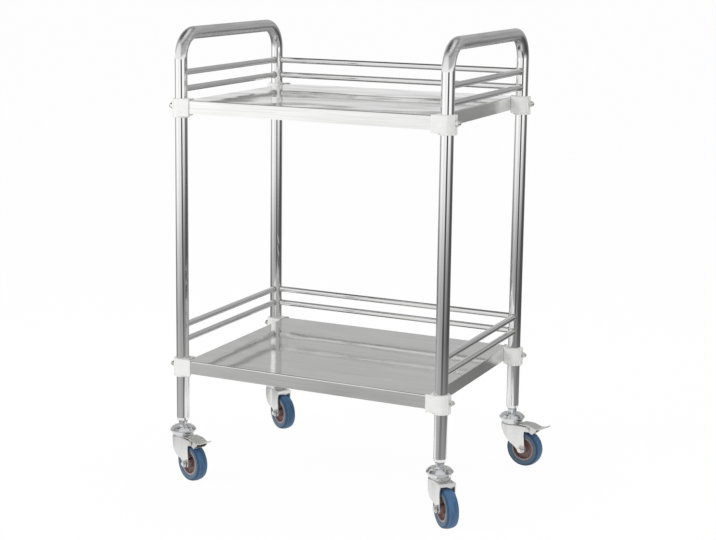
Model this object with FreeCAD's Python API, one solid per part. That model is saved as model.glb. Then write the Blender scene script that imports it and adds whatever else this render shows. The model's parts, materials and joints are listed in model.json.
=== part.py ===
import FreeCAD, Part
import math
import os

from FreeCAD import Placement, Rotation, Vector

# Two-shelf medical trolley in stainless steel tube and sheet, on four stem castors.
# Millimetres. +X runs along the shelves, +Y to the railed back, +Z up from the floor.

# Clearances
seat_gap = 0.05
running_gap = 0.05
hole_gap = 0.2

# How far a cutting shape runs past the face it opens
cut_margin = 1.0

# End frames: one bent tube each, two legs joined by a push handle
leg_spacing_length = 552.0
leg_spacing_depth = 390.0
handle_height = 882.5
tube_radius = 12.5
tube_wall = 1.2
handle_bend_radius = 48.0
swage_height = 8.0
swage_radius = 8.5
swage_bulge_depth = 0.8

# Shelf trays, folded from sheet
tray_sheet = 1.2
tray_apron = 26.0
tray_inner_fold = 1.2
tray_return = 9.0
tray_end_gap = 0.45
tray_overhang = 1.0
lower_tray_height = 243.0
upper_tray_below_handle = 125.5

# Stiffening channel under each tray
channel_sheet = 1.2
channel_width = 34.0
channel_depth = 14.0
channel_flange = 12.0
channel_end_margin = 24.0

# Guard rails
rail_radius = 6.0
lower_rail_rises = (36.0, 66.0)
upper_rail_rises = (19.5, 51.0)

# Moulded corner brackets round the legs
bracket_wall = 3.5
bracket_height = 36.0
bracket_cap = 1.5
bracket_skin = 2.5
bracket_lap = 9.0
bracket_foot_step = 3.0
bracket_pad_proud = 1.0
bracket_pad_half_width = 7.0
bracket_edge_round = 1.2

# Corner bolts and domed cap nuts
bolt_radius = 3.0
bolt_head_flats = 10.0
bolt_head_height = 4.0
bolt_engagement = 7.0
cap_nut_flats = 10.0
cap_nut_hex_height = 5.0
cap_nut_dome_step = 0.3
cap_nut_wall = 1.8

# Castor wheels
wheel_radius = 37.5
tyre_half_width = 11.75
tyre_depth = 12.0
tyre_bead = 1.0
tyre_shoulder = 4.5
tyre_crown = 0.8
hub_rim_depth = 4.0
hub_rim_recess = 1.75
hub_web_half_width = 3.0
hub_boss_wall = 5.0
hub_boss_round = 1.0

# Pressed castor forks
trail = 32.0
fork_sheet = 2.0
fork_tyre_gap = 2.75
fork_crown_rim = 3.0
fork_hub_gap = 0.5
fork_tread_gap = 9.0
fork_boss_radius = 8.0
fork_lip_past_axle = 6.0
fork_lip_height = 6.5
fork_bend_radius = 2.0
fork_rear_past_axle = 5.0
fork_rear_drop = 20.0
fork_knee_before_axle = 27.0
fork_knee_drop = 35.0
fork_brow_drop = 3.0
race_platform_height = 10.6
race_platform_radius = 18.5
king_pin_clearance = 0.5

# Double-cone bearing head, ball row and stem
cup_sheet = 2.0
cup_skirt_gap = 1.3
cup_flare = 4.0
cup_flat_inset = 9.0
cup_shoulder_inset = 4.5
cup_shoulder_drop = 1.5
cup_rim_drop = 6.5
cup_rim_band = 1.5
cup_skirt_drop = 7.0
ball_radius = 3.0
ball_row_inset = 4.0
ball_count = 8
ball_gap = 0.2
king_pin_radius = 6.0
king_pin_head_lip = 3.0
king_pin_head_height = 3.0
stem_flange_lip = 5.0
stem_flange_height = 2.0
stem_neck_wall = 1.8
stem_neck_height = 4.0
stem_collar_lip = 0.5
stem_collar_height = 4.0
stem_length_in_leg = 36.0
bush_height = 24.0

# Wheel axle
axle_radius = 4.0
axle_head_flats = 13.0
axle_head_height = 5.0
axle_nut_hex_height = 4.5
axle_nut_collar_height = 2.0
axle_nut_collar_step = 1.0
axle_thread_proud = 2.5

# Brake on two castors: a rocking pedal on a pin between the fork's ears
brake_pin_past_axle = 12.0
brake_pin_over_tread = 6.0
brake_pin_radius = 2.5
brake_pin_head_radius = 4.0
brake_pin_head_height = 1.5
brake_ear_radius = 5.0
pedal_sheet = 2.0
pedal_side_gap = 0.6
pedal_tread_rise = 7.5
pedal_root_before_pin = 18.5
pedal_knee_past_pin = 2.0
pedal_valley_past_pin = 19.0
pedal_valley_drop = 5.0
pedal_curl_past_pin = 29.5
pedal_curl_rise = 2.4
pedal_tip_past_pin = 40.5
pedal_tip_rise = 8.0
pedal_tip_half_width = 8.5
pedal_cheek_before_pin = 4.0
pedal_flange_depth = 4.5
shoe_gap = 3.4
shoe_from_angle = 56.0
shoe_to_angle = 72.0

# Swivel angle of each castor as it stands, in degrees from +X
castor_angles = {
    "front_left": -24.0,
    "back_left": -32.0,
    "front_right": -44.0,
    "back_right": -10.0,
}
braked_castors = ("front_left", "back_right")

# Each corner's side of the trolley: -1 is left or front, +1 is right or back
corners = {
    "front_left": (-1, -1),
    "back_left": (-1, 1),
    "front_right": (1, -1),
    "back_right": (1, 1),
}

# The upper shelf hangs at a set drop below the handles
upper_tray_height = handle_height - upper_tray_below_handle

# Radii and widths that follow from the part each one fits
bracket_radius = tube_radius + bracket_wall
tray_end_inset = bracket_radius + tray_end_gap + seat_gap
tray_front_reach = tube_radius + tray_overhang
tray_fold_radius = tray_inner_fold + tray_sheet
cap_nut_dome_radius = cap_nut_flats / 2 - cap_nut_dome_step
tyre_inner_radius = wheel_radius - tyre_depth
hub_rim_radius = tyre_inner_radius - hub_rim_depth
hub_rim_half_width = tyre_half_width - hub_rim_recess
hub_boss_radius = axle_radius + hub_boss_wall
fork_inner_half_width = tyre_half_width + fork_tyre_gap
fork_half_width = fork_inner_half_width + fork_sheet
fork_crown_radius = race_platform_radius + fork_crown_rim
cup_skirt_radius = race_platform_radius + cup_skirt_gap + cup_sheet
cup_radius = cup_skirt_radius + cup_flare
cup_flat_radius = cup_radius - cup_flat_inset
cup_shoulder_radius = cup_radius - cup_shoulder_inset
ball_row_radius = race_platform_radius - ball_row_inset
king_pin_head_radius = king_pin_radius + king_pin_head_lip
stem_flange_radius = king_pin_radius + stem_flange_lip
stem_neck_radius = king_pin_radius + stem_neck_wall
stem_collar_radius = swage_radius + stem_collar_lip

# Places along the castor that follow from its trail
fork_lip_reach = trail + fork_lip_past_axle
fork_rear_reach = trail + fork_rear_past_axle
fork_knee_reach = trail - fork_knee_before_axle
brake_pin_reach = trail + brake_pin_past_axle

# Heights that follow from the castor's stack of parts
axle_height = wheel_radius
brake_pin_height = 2 * wheel_radius + brake_pin_over_tread
crown_underside = 2 * wheel_radius + fork_tread_gap
crown_top = crown_underside + fork_sheet
race_top = crown_top + race_platform_height
cup_underside = race_top + 2 * ball_gap + 2 * ball_radius
cup_top = cup_underside + cup_sheet
neck_bottom = cup_top + stem_flange_height
collar_bottom = neck_bottom + stem_neck_height
leg_bottom = collar_bottom + stem_collar_height

tray_length = leg_spacing_length - 2 * tray_end_inset
tray_depth = leg_spacing_depth + 2 * tray_front_reach
tray_bolt_drop = tray_apron / 2
hole_radius = bolt_radius + hole_gap

up = Vector(0, 0, 1)
along_x = Vector(1, 0, 0)
along_y = Vector(0, 1, 0)

nodes = {}


def box(low, high):
    """A box between two opposite corners."""
    low = Vector(*low)
    size = Vector(*high) - low
    return Part.makeBox(size.x, size.y, size.z, low)


def turned(profile):
    """The solid turned about Z from a closed outline of (radius, height) points."""
    points = [Vector(radius, 0, height) for radius, height in profile]
    face = Part.Face(Part.makePolygon(points + points[:1]))
    return face.revolve(Vector(0, 0, 0), up, 360)


def side_face(points):
    """A flat face in the XZ plane from a closed outline of (x, z) points."""
    corners_in_plane = [Vector(x, 0, z) for x, z in points]
    return Part.Face(Part.makePolygon(corners_in_plane + corners_in_plane[:1]))


def thick_in_y(face, half_width):
    """The prism that a face in the XZ plane makes, centred on that plane."""
    moved = face.translated(Vector(0, -half_width, 0))
    return moved.extrude(Vector(0, 2 * half_width, 0))


def hexagon(flats, height, start, axis):
    """A hexagonal prism of the given width across flats."""
    circumradius = flats / math.sqrt(3)
    angles = [math.radians(60 * step) for step in range(6)]
    points = [Vector(circumradius * math.cos(a), circumradius * math.sin(a), 0) for a in angles]
    prism = Part.Face(Part.makePolygon(points + points[:1])).extrude(Vector(0, 0, height))
    prism.Placement = Placement(start, Rotation(up, axis))
    return prism


def tangent_point(centre, radius, point, side):
    """Where the line from a point touches a circle, on its left (+1) or right (-1) side."""
    gap_x = point[0] - centre[0]
    gap_z = point[1] - centre[1]
    bearing = math.atan2(gap_z, gap_x) + side * math.acos(radius / math.hypot(gap_x, gap_z))
    return (centre[0] + radius * math.cos(bearing), centre[1] + radius * math.sin(bearing))


def only_solid(shape):
    """The one solid of a finished shape, with its split faces merged."""
    solids = shape.removeSplitter().Solids
    if len(solids) != 1:
        raise ValueError("a piece came out as %d solids" % len(solids))
    return solids[0]


def tube_ring(radius, wall, centre, normal):
    """The annular section of a round tube."""
    outer = Part.Wire(Part.makeCircle(radius, centre, normal))
    inner = Part.Wire(Part.makeCircle(radius - wall, centre, normal))
    return Part.Face([outer, inner])


# End frame

def leg_holes(x, y):
    """The cross holes that the corner bolts pass through in one leg."""
    holes = []
    for tray_height in (lower_tray_height, upper_tray_height):
        start = Vector(x - 2 * tube_radius, y, tray_height - tray_bolt_drop)
        holes.append(Part.makeCylinder(hole_radius, 4 * tube_radius, start, along_x))
    return holes


def swaged_end(x, y):
    """The leg's lower end, drawn in to the castor's collar."""
    shoulder = leg_bottom + swage_height
    bulge = (tube_radius + swage_radius) / 2 + swage_bulge_depth
    profile = [
        (tube_radius - tube_wall, shoulder),
        (tube_radius, shoulder),
        (bulge, leg_bottom + swage_height / 3),
        (swage_radius, leg_bottom),
        (swage_radius - tube_wall, leg_bottom),
        (bulge - tube_wall, leg_bottom + swage_height / 3),
    ]
    return turned(profile).translated(Vector(x, y, 0))


def end_frame(side):
    """One inverted U of bent tube: two legs, two bends and the handle between them."""
    x = side * leg_spacing_length / 2
    half_depth = leg_spacing_depth / 2
    bend_height = handle_height - handle_bend_radius
    straight_bottom = leg_bottom + swage_height
    pieces = []
    for row in (-1, 1):
        y = row * half_depth
        foot = tube_ring(tube_radius, tube_wall, Vector(x, y, straight_bottom), up)
        pieces.append(foot.extrude(up * (bend_height - straight_bottom)))
        pieces.append(swaged_end(x, y))
        shoulder = tube_ring(tube_radius, tube_wall, Vector(x, y, bend_height), up)
        bend_centre = Vector(x, y - row * handle_bend_radius, bend_height)
        pieces.append(shoulder.revolve(bend_centre, along_x * row, 90))
    start = Vector(x, -half_depth + handle_bend_radius, handle_height)
    grip = tube_ring(tube_radius, tube_wall, start, along_y)
    pieces.append(grip.extrude(along_y * (leg_spacing_depth - 2 * handle_bend_radius)))
    frame = pieces[0].fuse(pieces[1:])
    for row in (-1, 1):
        frame = frame.cut(leg_holes(x, row * half_depth))
    return only_solid(frame)


# Guard rails

def end_rail(side, height):
    """A rail along Y between the two legs of one end frame, its ends saddled to the tubes."""
    x = side * leg_spacing_length / 2
    start = Vector(x, -leg_spacing_depth / 2, height)
    rail = Part.makeCylinder(rail_radius, leg_spacing_depth, start, along_y)
    for row in (-1, 1):
        foot = Vector(x, row * leg_spacing_depth / 2, height - 2 * rail_radius)
        rail = rail.cut(Part.makeCylinder(tube_radius + seat_gap, 4 * rail_radius, foot, up))
    return only_solid(rail)


def back_rail(height):
    """A rail along X between the two rear legs, its ends saddled to the tubes."""
    start = Vector(-leg_spacing_length / 2, leg_spacing_depth / 2, height)
    rail = Part.makeCylinder(rail_radius, leg_spacing_length, start, along_x)
    for side in (-1, 1):
        foot = Vector(side * leg_spacing_length / 2, start.y, height - 2 * rail_radius)
        rail = rail.cut(Part.makeCylinder(tube_radius + seat_gap, 4 * rail_radius, foot, up))
    return only_solid(rail)


# Trays

def tray(top):
    """A folded sheet tray: flat top, four aprons and a return flange along each lower edge."""
    half_length = tray_length / 2
    half_depth = tray_depth / 2
    outer = box((-half_length, -half_depth, top - tray_apron), (half_length, half_depth, top))
    outer = outer.makeFillet(tray_fold_radius, rim_edges(outer, top) + upright_edges(outer))
    inside_top = top - tray_sheet
    inside_length = half_length - tray_sheet
    inside_depth = half_depth - tray_sheet
    inner = box(
        (-inside_length, -inside_depth, top - tray_apron + tray_sheet),
        (inside_length, inside_depth, inside_top),
    )
    inner_radius = tray_fold_radius - tray_sheet
    inner = inner.makeFillet(inner_radius, rim_edges(inner, inside_top) + upright_edges(inner))
    mouth_length = inside_length - tray_return
    mouth_depth = inside_depth - tray_return
    mouth = box(
        (-mouth_length, -mouth_depth, top - 2 * tray_apron),
        (mouth_length, mouth_depth, inside_top - tray_sheet),
    )
    folded = outer.cut(inner.fuse(mouth))
    bolt_height = top - tray_bolt_drop
    for row in (-1, 1):
        start = Vector(-tray_length, row * leg_spacing_depth / 2, bolt_height)
        folded = folded.cut(Part.makeCylinder(hole_radius, 2 * tray_length, start, along_x))
    return only_solid(folded)


def rim_edges(solid, height):
    """The straight edges of a box that lie all at one height."""
    return [edge for edge in solid.Edges
            if abs(edge.BoundBox.ZMin - height) < 1e-6 and abs(edge.BoundBox.ZMax - height) < 1e-6]


def upright_edges(solid):
    """The vertical edges of a box."""
    return [edge for edge in solid.Edges if edge.BoundBox.ZLength > tray_sheet]


def tray_channel(top):
    """A hat-section stiffener welded under the middle of a tray."""
    under = top - tray_sheet
    half = channel_width / 2
    brim = half + channel_flange
    outline = [
        (-brim, under), (-half + channel_sheet, under),
        (-half + channel_sheet, under - channel_depth + channel_sheet),
        (half - channel_sheet, under - channel_depth + channel_sheet),
        (half - channel_sheet, under), (brim, under),
        (brim, under - channel_sheet), (half, under - channel_sheet),
        (half, under - channel_depth), (-half, under - channel_depth),
        (-half, under - channel_sheet), (-brim, under - channel_sheet),
    ]
    half_length = tray_length / 2 - channel_end_margin
    points = [Vector(-half_length, y, z) for y, z in outline]
    section = Part.Face(Part.makePolygon(points + points[:1]))
    return only_solid(section.extrude(along_x * (2 * half_length)))


# Corner brackets

def placed_at_corner(shape, corner):
    """A shape modelled for the front left corner, moved to a corner and mirrored to suit."""
    side, row = corners[corner]
    if side > 0:
        shape = shape.mirror(Vector(0, 0, 0), along_x)
    if row > 0:
        shape = shape.mirror(Vector(0, 0, 0), along_y)
    return shape.translated(Vector(side * leg_spacing_length / 2, row * leg_spacing_depth / 2, 0))


def corner_bracket(tray_top, corner):
    """A moulded sleeve on the leg with a block that laps over the tray's folded corner only."""
    top = tray_top + seat_gap + bracket_cap
    bottom = top - bracket_height
    step = bottom + bracket_foot_step
    lap_end = tray_end_inset + bracket_lap
    skin_inside = -tray_front_reach - seat_gap
    skin_outside = skin_inside - bracket_skin
    block_end = tray_end_inset - seat_gap
    flat_start = tray_end_inset + tray_fold_radius - seat_gap
    flat_front = skin_inside + tray_fold_radius
    sleeve = Part.makeCylinder(bracket_radius, bracket_height, Vector(0, 0, bottom), up)
    pad_end = bracket_radius + bracket_pad_proud
    pad = box((-pad_end, -bracket_pad_half_width, bottom), (0, bracket_pad_half_width, top))
    block = box((0, skin_outside, step), (block_end, bracket_radius, top))
    skin = box((0, skin_outside, step), (lap_end, skin_inside, top))
    cap = box((0, skin_outside, top - bracket_cap), (flat_start, bracket_radius, top))
    hook = box((0, skin_outside, top - bracket_cap), (lap_end, flat_front, top))
    body = only_solid(sleeve.fuse([pad, block, skin, cap, hook]))
    outline = [edge for edge in body.Edges if is_bracket_outline(edge, top, lap_end, skin_outside)]
    body = body.makeFillet(bracket_edge_round, outline)
    body = body.cut(Part.makeCylinder(tube_radius + seat_gap, 2 * bracket_height,
                                      Vector(0, 0, bottom - bracket_height / 2), up))
    bolt_start = Vector(-2 * bracket_radius, 0, tray_top - tray_bolt_drop)
    body = body.cut(Part.makeCylinder(hole_radius, 4 * bracket_radius, bolt_start, along_x))
    return placed_at_corner(only_solid(body), corner)


def is_bracket_outline(edge, top, lap_end, skin_outside):
    """True for the upright edge of the lapping block that faces out at its inner end."""
    spot = edge.BoundBox
    upright = spot.ZLength > bracket_cap and spot.XLength < 1e-6 and spot.YLength < 1e-6
    return upright and abs(spot.XMin - lap_end) < 1e-6 and abs(spot.YMin - skin_outside) < 1e-6


# Corner bolts and cap nuts

def corner_bolt(tray_top, corner):
    """A hex bolt from inside the tray's apron, out through the bracket and the leg."""
    height = tray_top - tray_bolt_drop
    head_face = tray_end_inset + tray_sheet + seat_gap
    tip = -(bracket_radius + bracket_pad_proud + bolt_engagement)
    shank = Part.makeCylinder(bolt_radius, head_face - tip, Vector(tip, 0, height), along_x)
    head = hexagon(bolt_head_flats, bolt_head_height, Vector(head_face, 0, height), along_x)
    return placed_at_corner(only_solid(shank.fuse(head)), corner)


def cap_nut(tray_top, corner):
    """A domed cap nut on the outer side of the bracket."""
    height = tray_top - tray_bolt_drop
    face = -(bracket_radius + bracket_pad_proud + seat_gap)
    start = Vector(face, 0, height)
    nut = hexagon(cap_nut_flats, cap_nut_hex_height, start, -along_x)
    dome_centre = start - along_x * cap_nut_hex_height
    dome = Part.makeSphere(cap_nut_dome_radius, dome_centre)
    nut = nut.fuse(dome)
    bore_depth = cap_nut_hex_height + cap_nut_dome_radius - cap_nut_wall
    nut = nut.cut(Part.makeCylinder(bolt_radius + seat_gap, bore_depth, start, -along_x))
    return placed_at_corner(only_solid(nut), corner)


# Castor parts, modelled with the swivel axis on Z, the floor at zero and the trail along +X

def castor_stem():
    """Stem, collar, neck and king pin in one turned piece, riveted under the crown."""
    pin_head_top = race_top - fork_sheet - ball_gap
    stem_top = leg_bottom + stem_length_in_leg
    profile = [
        (0, pin_head_top - king_pin_head_height),
        (king_pin_head_radius, pin_head_top - king_pin_head_height),
        (king_pin_head_radius, pin_head_top),
        (king_pin_radius, pin_head_top),
        (king_pin_radius, cup_top),
        (stem_flange_radius, cup_top),
        (stem_flange_radius - stem_flange_height / 2, neck_bottom),
        (stem_neck_radius, neck_bottom),
        (stem_neck_radius, collar_bottom),
        (stem_collar_radius, collar_bottom),
        (stem_collar_radius, leg_bottom - seat_gap),
        (king_pin_radius, leg_bottom - seat_gap),
        (king_pin_radius, stem_top),
        (0, stem_top),
    ]
    return turned(profile)


def castor_top_cup():
    """The dished cup that covers the ball row."""
    rim = cup_top - cup_rim_drop
    skirt = rim - cup_rim_band - cup_skirt_drop
    profile = [
        (king_pin_radius + seat_gap, cup_top),
        (cup_flat_radius, cup_top),
        (cup_shoulder_radius, cup_top - cup_shoulder_drop),
        (cup_radius, rim),
        (cup_radius, rim - cup_rim_band),
        (cup_skirt_radius, skirt),
        (cup_skirt_radius - cup_sheet, skirt),
        (cup_radius - cup_sheet, rim - cup_rim_band),
        (cup_radius - cup_sheet, rim),
        (cup_shoulder_radius - cup_sheet / 2, cup_underside - cup_shoulder_drop),
        (cup_flat_radius + cup_sheet, cup_underside),
        (king_pin_radius + seat_gap, cup_underside),
    ]
    return turned(profile)


def castor_ball_row():
    """The row of bearing balls between the fork's raised race and the cup."""
    centre_height = race_top + ball_gap + ball_radius
    balls = []
    for step in range(ball_count):
        angle = 2 * math.pi * step / ball_count
        centre = Vector(ball_row_radius * math.cos(angle), ball_row_radius * math.sin(angle), centre_height)
        balls.append(Part.makeSphere(ball_radius, centre))
    return Part.makeCompound(balls)


def fork_plan(radius, half_width, reach, bottom, top):
    """The fork's plan shape as a prism: a round crown that runs back into two flat sides."""
    crown = Part.makeCylinder(radius, top - bottom, Vector(0, 0, bottom), up)
    return only_solid(crown.fuse(box((0, -half_width, bottom), (reach, half_width, top))))


def fork_side_prism(braked):
    """The fork's outline from the side, as a prism right across the fork."""
    axle = (trail, axle_height)
    knee = (fork_knee_reach, crown_top - fork_knee_drop)
    rear = (fork_rear_reach, crown_top - fork_rear_drop)
    across = 2 * fork_crown_radius
    outline = [
        (-across, crown_top + cut_margin),
        (-across, crown_top - fork_brow_drop),
        (-fork_crown_radius, crown_top - fork_brow_drop),
        knee,
        tangent_point(axle, fork_boss_radius, knee, 1),
        axle,
        tangent_point(axle, fork_boss_radius, rear, -1),
        rear,
        (fork_lip_reach, crown_top - fork_lip_height),
        (fork_lip_reach, crown_top + cut_margin),
    ]
    prism = thick_in_y(side_face(outline), across)
    boss_start = Vector(trail, -across, axle_height)
    prism = prism.fuse(Part.makeCylinder(fork_boss_radius, 2 * across, boss_start, along_y))
    if braked:
        ear_start = Vector(brake_pin_reach, -across, brake_pin_height)
        ear = Part.makeCylinder(brake_ear_radius, 2 * across, ear_start, along_y)
        wing = box(
            (trail, -across, brake_pin_height - brake_ear_radius),
            (brake_pin_reach, across, brake_pin_height + brake_ear_radius),
        )
        prism = prism.fuse([ear, wing])
    return prism


def castor_fork(braked):
    """The pressed fork: dished crown with a raised race, rear lip and two swept legs."""
    reach = brake_pin_reach + brake_ear_radius if braked else trail + fork_boss_radius
    bottom = axle_height - fork_boss_radius
    outer = fork_plan(fork_crown_radius, fork_half_width, reach, bottom, crown_top)
    outer = outer.makeFillet(fork_bend_radius, rim_edges(outer, crown_top))
    inner = fork_plan(fork_crown_radius - fork_sheet, fork_inner_half_width, 2 * reach,
                      bottom - cut_margin, crown_underside)
    fork = outer.cut(inner).common(fork_side_prism(braked))
    mouth = box((fork_lip_reach, -fork_inner_half_width, crown_underside - cut_margin),
                (2 * reach, fork_inner_half_width, crown_top + cut_margin))
    lip = box((fork_lip_reach - fork_sheet, -fork_half_width + fork_sheet / 2, crown_top - fork_lip_height),
              (fork_lip_reach, fork_half_width - fork_sheet / 2, crown_top - fork_sheet / 2))
    platform = turned([
        (king_pin_radius + king_pin_clearance, race_top),
        (race_platform_radius, race_top),
        (race_platform_radius, crown_underside),
        (0, crown_underside),
        (0, race_top - fork_sheet),
        (king_pin_radius + king_pin_clearance, race_top - fork_sheet),
    ])
    hollow_bottom = crown_underside - cut_margin
    hollow = Part.makeCylinder(race_platform_radius - fork_sheet, race_top - fork_sheet - hollow_bottom,
                               Vector(0, 0, hollow_bottom), up)
    pin_hole = Part.makeCylinder(king_pin_radius + king_pin_clearance, 2 * race_platform_height,
                                 Vector(0, 0, race_top - race_platform_height), up)
    fork = fork.cut(mouth).fuse([lip, platform]).cut([hollow, pin_hole])
    fork = fork.cut(cross_hole(axle_radius + seat_gap, trail, axle_height))
    if braked:
        fork = fork.cut(cross_hole(brake_pin_radius + seat_gap, brake_pin_reach, brake_pin_height))
    return only_solid(fork)


def cross_hole(radius, x, z):
    """A cylinder along Y, wider than the castor, to cut a hole through both sides."""
    return Part.makeCylinder(radius, 4 * fork_half_width, Vector(x, -2 * fork_half_width, z), along_y)


def axle_bolt():
    """The axle: a hex bolt through both fork legs, threaded at its outer end."""
    nut_height = axle_nut_hex_height + axle_nut_collar_height
    length = 2 * fork_half_width + nut_height + axle_thread_proud
    tip = Vector(trail, fork_half_width - length, axle_height)
    shank = Part.makeCylinder(axle_radius, length + seat_gap, tip, along_y)
    head_start = Vector(trail, fork_half_width + seat_gap, axle_height)
    head = hexagon(axle_head_flats, axle_head_height, head_start, along_y)
    return only_solid(shank.fuse(head))


def axle_nut():
    """The axle's locking nut, with a plain round collar for its insert."""
    start = Vector(trail, -fork_half_width - seat_gap, axle_height)
    nut = hexagon(axle_head_flats, axle_nut_hex_height, start, -along_y)
    collar_start = start - along_y * axle_nut_hex_height
    collar_radius = axle_head_flats / 2 - axle_nut_collar_step
    collar = Part.makeCylinder(collar_radius, axle_nut_collar_height, collar_start, -along_y)
    nut = nut.fuse(collar)
    return only_solid(nut.cut(cross_hole(axle_radius + seat_gap, trail, axle_height)))


def about_axle(solid):
    """A solid turned about Z at the origin, laid along Y on the wheel's axle."""
    solid.Placement = Placement(Vector(trail, 0, axle_height), Rotation(along_x, 90))
    return solid


def wheel_hub():
    """The moulded wheel centre: bored boss, dished web and the rim that the tyre sits on."""
    boss = fork_inner_half_width - fork_hub_gap
    half = [
        (axle_radius + running_gap, boss),
        (hub_boss_radius - hub_boss_round, boss),
        (hub_boss_radius, boss - hub_boss_round),
        (hub_boss_radius, hub_web_half_width),
        (hub_rim_radius, hub_web_half_width),
        (hub_rim_radius, hub_rim_half_width),
        (tyre_inner_radius - seat_gap, hub_rim_half_width),
    ]
    mirrored = [(radius, -height) for radius, height in reversed(half)]
    return about_axle(turned(half + mirrored))


def wheel_tyre():
    """The rubber tyre, with a lightly crowned tread and rounded shoulders."""
    side = tyre_half_width
    shoulder_radius = wheel_radius - tyre_crown - tyre_shoulder
    corner = tyre_shoulder * (1 - math.sqrt(0.5))
    half = [
        (tyre_inner_radius, side - tyre_bead),
        (tyre_inner_radius + tyre_bead, side),
        (shoulder_radius, side),
        (wheel_radius - tyre_crown - corner, side - corner),
        (wheel_radius - tyre_crown, side - tyre_shoulder),
        (wheel_radius, tyre_shoulder / 2),
    ]
    mirrored = [(radius, -height) for radius, height in reversed(half)]
    return about_axle(turned(half + mirrored))


def pedal_line():
    """The pedal's centre line from the side: flat tread, valley behind the pin, upturned tip."""
    tread = brake_pin_height + pedal_tread_rise
    valley = tread - pedal_valley_drop
    return [
        (brake_pin_reach - pedal_root_before_pin, tread),
        (brake_pin_reach + pedal_knee_past_pin, tread),
        (brake_pin_reach + pedal_valley_past_pin, valley),
        (brake_pin_reach + pedal_curl_past_pin, valley + pedal_curl_rise),
        (brake_pin_reach + pedal_tip_past_pin, valley + pedal_tip_rise),
    ]


def brake_pedal():
    """The rocking pedal: tread plate, two side cheeks on the pin, and the curved shoe."""
    line = pedal_line()
    root, knee, valley, curl, tip = line
    upper = [(x, z + pedal_sheet / 2) for x, z in line]
    lower = [(x, z - pedal_sheet / 2) for x, z in reversed(line)]
    half_width = fork_inner_half_width - pedal_side_gap
    plate = thick_in_y(side_face(upper + lower), half_width)
    plan = [
        Vector(root[0], -half_width, 0),
        Vector(valley[0], -half_width, 0),
        Vector(tip[0], -pedal_tip_half_width, 0),
        Vector(tip[0], pedal_tip_half_width, 0),
        Vector(valley[0], half_width, 0),
        Vector(root[0], half_width, 0),
    ]
    plan_prism = Part.Face(Part.makePolygon(plan + plan[:1])).extrude(up * (4 * wheel_radius))
    plate = plate.common(plan_prism)
    shoe_inner = wheel_radius + shoe_gap
    shoe_outer = shoe_inner + pedal_sheet
    cheek = side_face([
        (brake_pin_reach - pedal_cheek_before_pin, knee[1]),
        knee,
        valley,
        (valley[0], valley[1] - pedal_flange_depth),
        shoe_point(shoe_outer, shoe_from_angle),
        shoe_point(wheel_radius, shoe_from_angle),
        shoe_point(wheel_radius, shoe_to_angle),
        shoe_point(shoe_outer, shoe_to_angle),
    ])
    cheeks = thick_in_y(cheek, half_width).cut(thick_in_y(cheek, half_width - pedal_sheet))
    across = Vector(trail, -half_width, axle_height)
    ring = Part.makeCylinder(shoe_outer, 2 * half_width, across, along_y)
    wedge = thick_in_y(side_face([
        (trail, axle_height),
        shoe_point(2 * shoe_outer, shoe_from_angle),
        shoe_point(2 * shoe_outer, shoe_to_angle),
    ]), half_width)
    tyre_space = Part.makeCylinder(shoe_inner, 2 * half_width, across, along_y)
    pedal = plate.fuse([cheeks, ring.common(wedge)]).cut(tyre_space)
    pedal = pedal.cut(cross_hole(brake_pin_radius + running_gap, brake_pin_reach, brake_pin_height))
    return only_solid(pedal)


def shoe_point(radius, angle):
    """A point at a radius and an angle about the wheel's axle, in the XZ plane."""
    turn = math.radians(angle)
    return (trail + radius * math.cos(turn), axle_height + radius * math.sin(turn))


def brake_pin():
    """The rivet that the pedal rocks on, headed outside both ears."""
    half = fork_half_width + seat_gap
    start = Vector(brake_pin_reach, -half, brake_pin_height)
    pin = Part.makeCylinder(brake_pin_radius, 2 * half, start, along_y)
    heads = [
        Part.makeCylinder(brake_pin_head_radius, brake_pin_head_height, start, -along_y),
        Part.makeCylinder(brake_pin_head_radius, brake_pin_head_height,
                          Vector(brake_pin_reach, half, brake_pin_height), along_y),
    ]
    return only_solid(pin.fuse(heads))


def placed_castor(shape, corner):
    """A castor part turned to its castor's angle and moved under its leg."""
    side, row = corners[corner]
    spot = Vector(side * leg_spacing_length / 2, row * leg_spacing_depth / 2, 0)
    placed = shape.copy()
    placed.Placement = Placement(spot, Rotation(up, castor_angles[corner])).multiply(shape.Placement)
    return placed


def leg_bush(corner):
    """The threaded bush pressed into a leg, which the castor's stem screws into."""
    bottom = leg_bottom + swage_height + seat_gap
    bush = turned([
        (king_pin_radius + seat_gap, bottom),
        (tube_radius - tube_wall - seat_gap, bottom),
        (tube_radius - tube_wall - seat_gap, bottom + bush_height),
        (king_pin_radius + seat_gap, bottom + bush_height),
    ])
    return placed_at_corner(bush, corner)


# Frame nodes
for side_name, side in (("left", -1), ("right", 1)):
    nodes["end_frame_" + side_name] = end_frame(side)

levels = (
    ("upper", upper_tray_height, upper_rail_rises),
    ("lower", lower_tray_height, lower_rail_rises),
)
for level, tray_top, rises in levels:
    for side_name, side in (("left", -1), ("right", 1)):
        rails = [end_rail(side, tray_top + rise) for rise in rises]
        nodes["%s_rails_%s" % (level, side_name)] = Part.makeCompound(rails)
    back_rails = [back_rail(tray_top + rise) for rise in rises]
    nodes["%s_rails_back" % level] = Part.makeCompound(back_rails)
    nodes["%s_tray" % level] = tray(tray_top)
    nodes["%s_tray_channel" % level] = tray_channel(tray_top)
    for corner in corners:
        nodes["%s_bracket_%s" % (level, corner)] = corner_bracket(tray_top, corner)

bolts = []
cap_nuts = []
for level, tray_top, rises in levels:
    for corner in corners:
        bolts.append(corner_bolt(tray_top, corner))
        cap_nuts.append(cap_nut(tray_top, corner))
nodes["corner_bolts"] = Part.makeCompound(bolts)
nodes["cap_nuts"] = Part.makeCompound(cap_nuts)
nodes["leg_bushes"] = Part.makeCompound([leg_bush(corner) for corner in corners])

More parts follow.
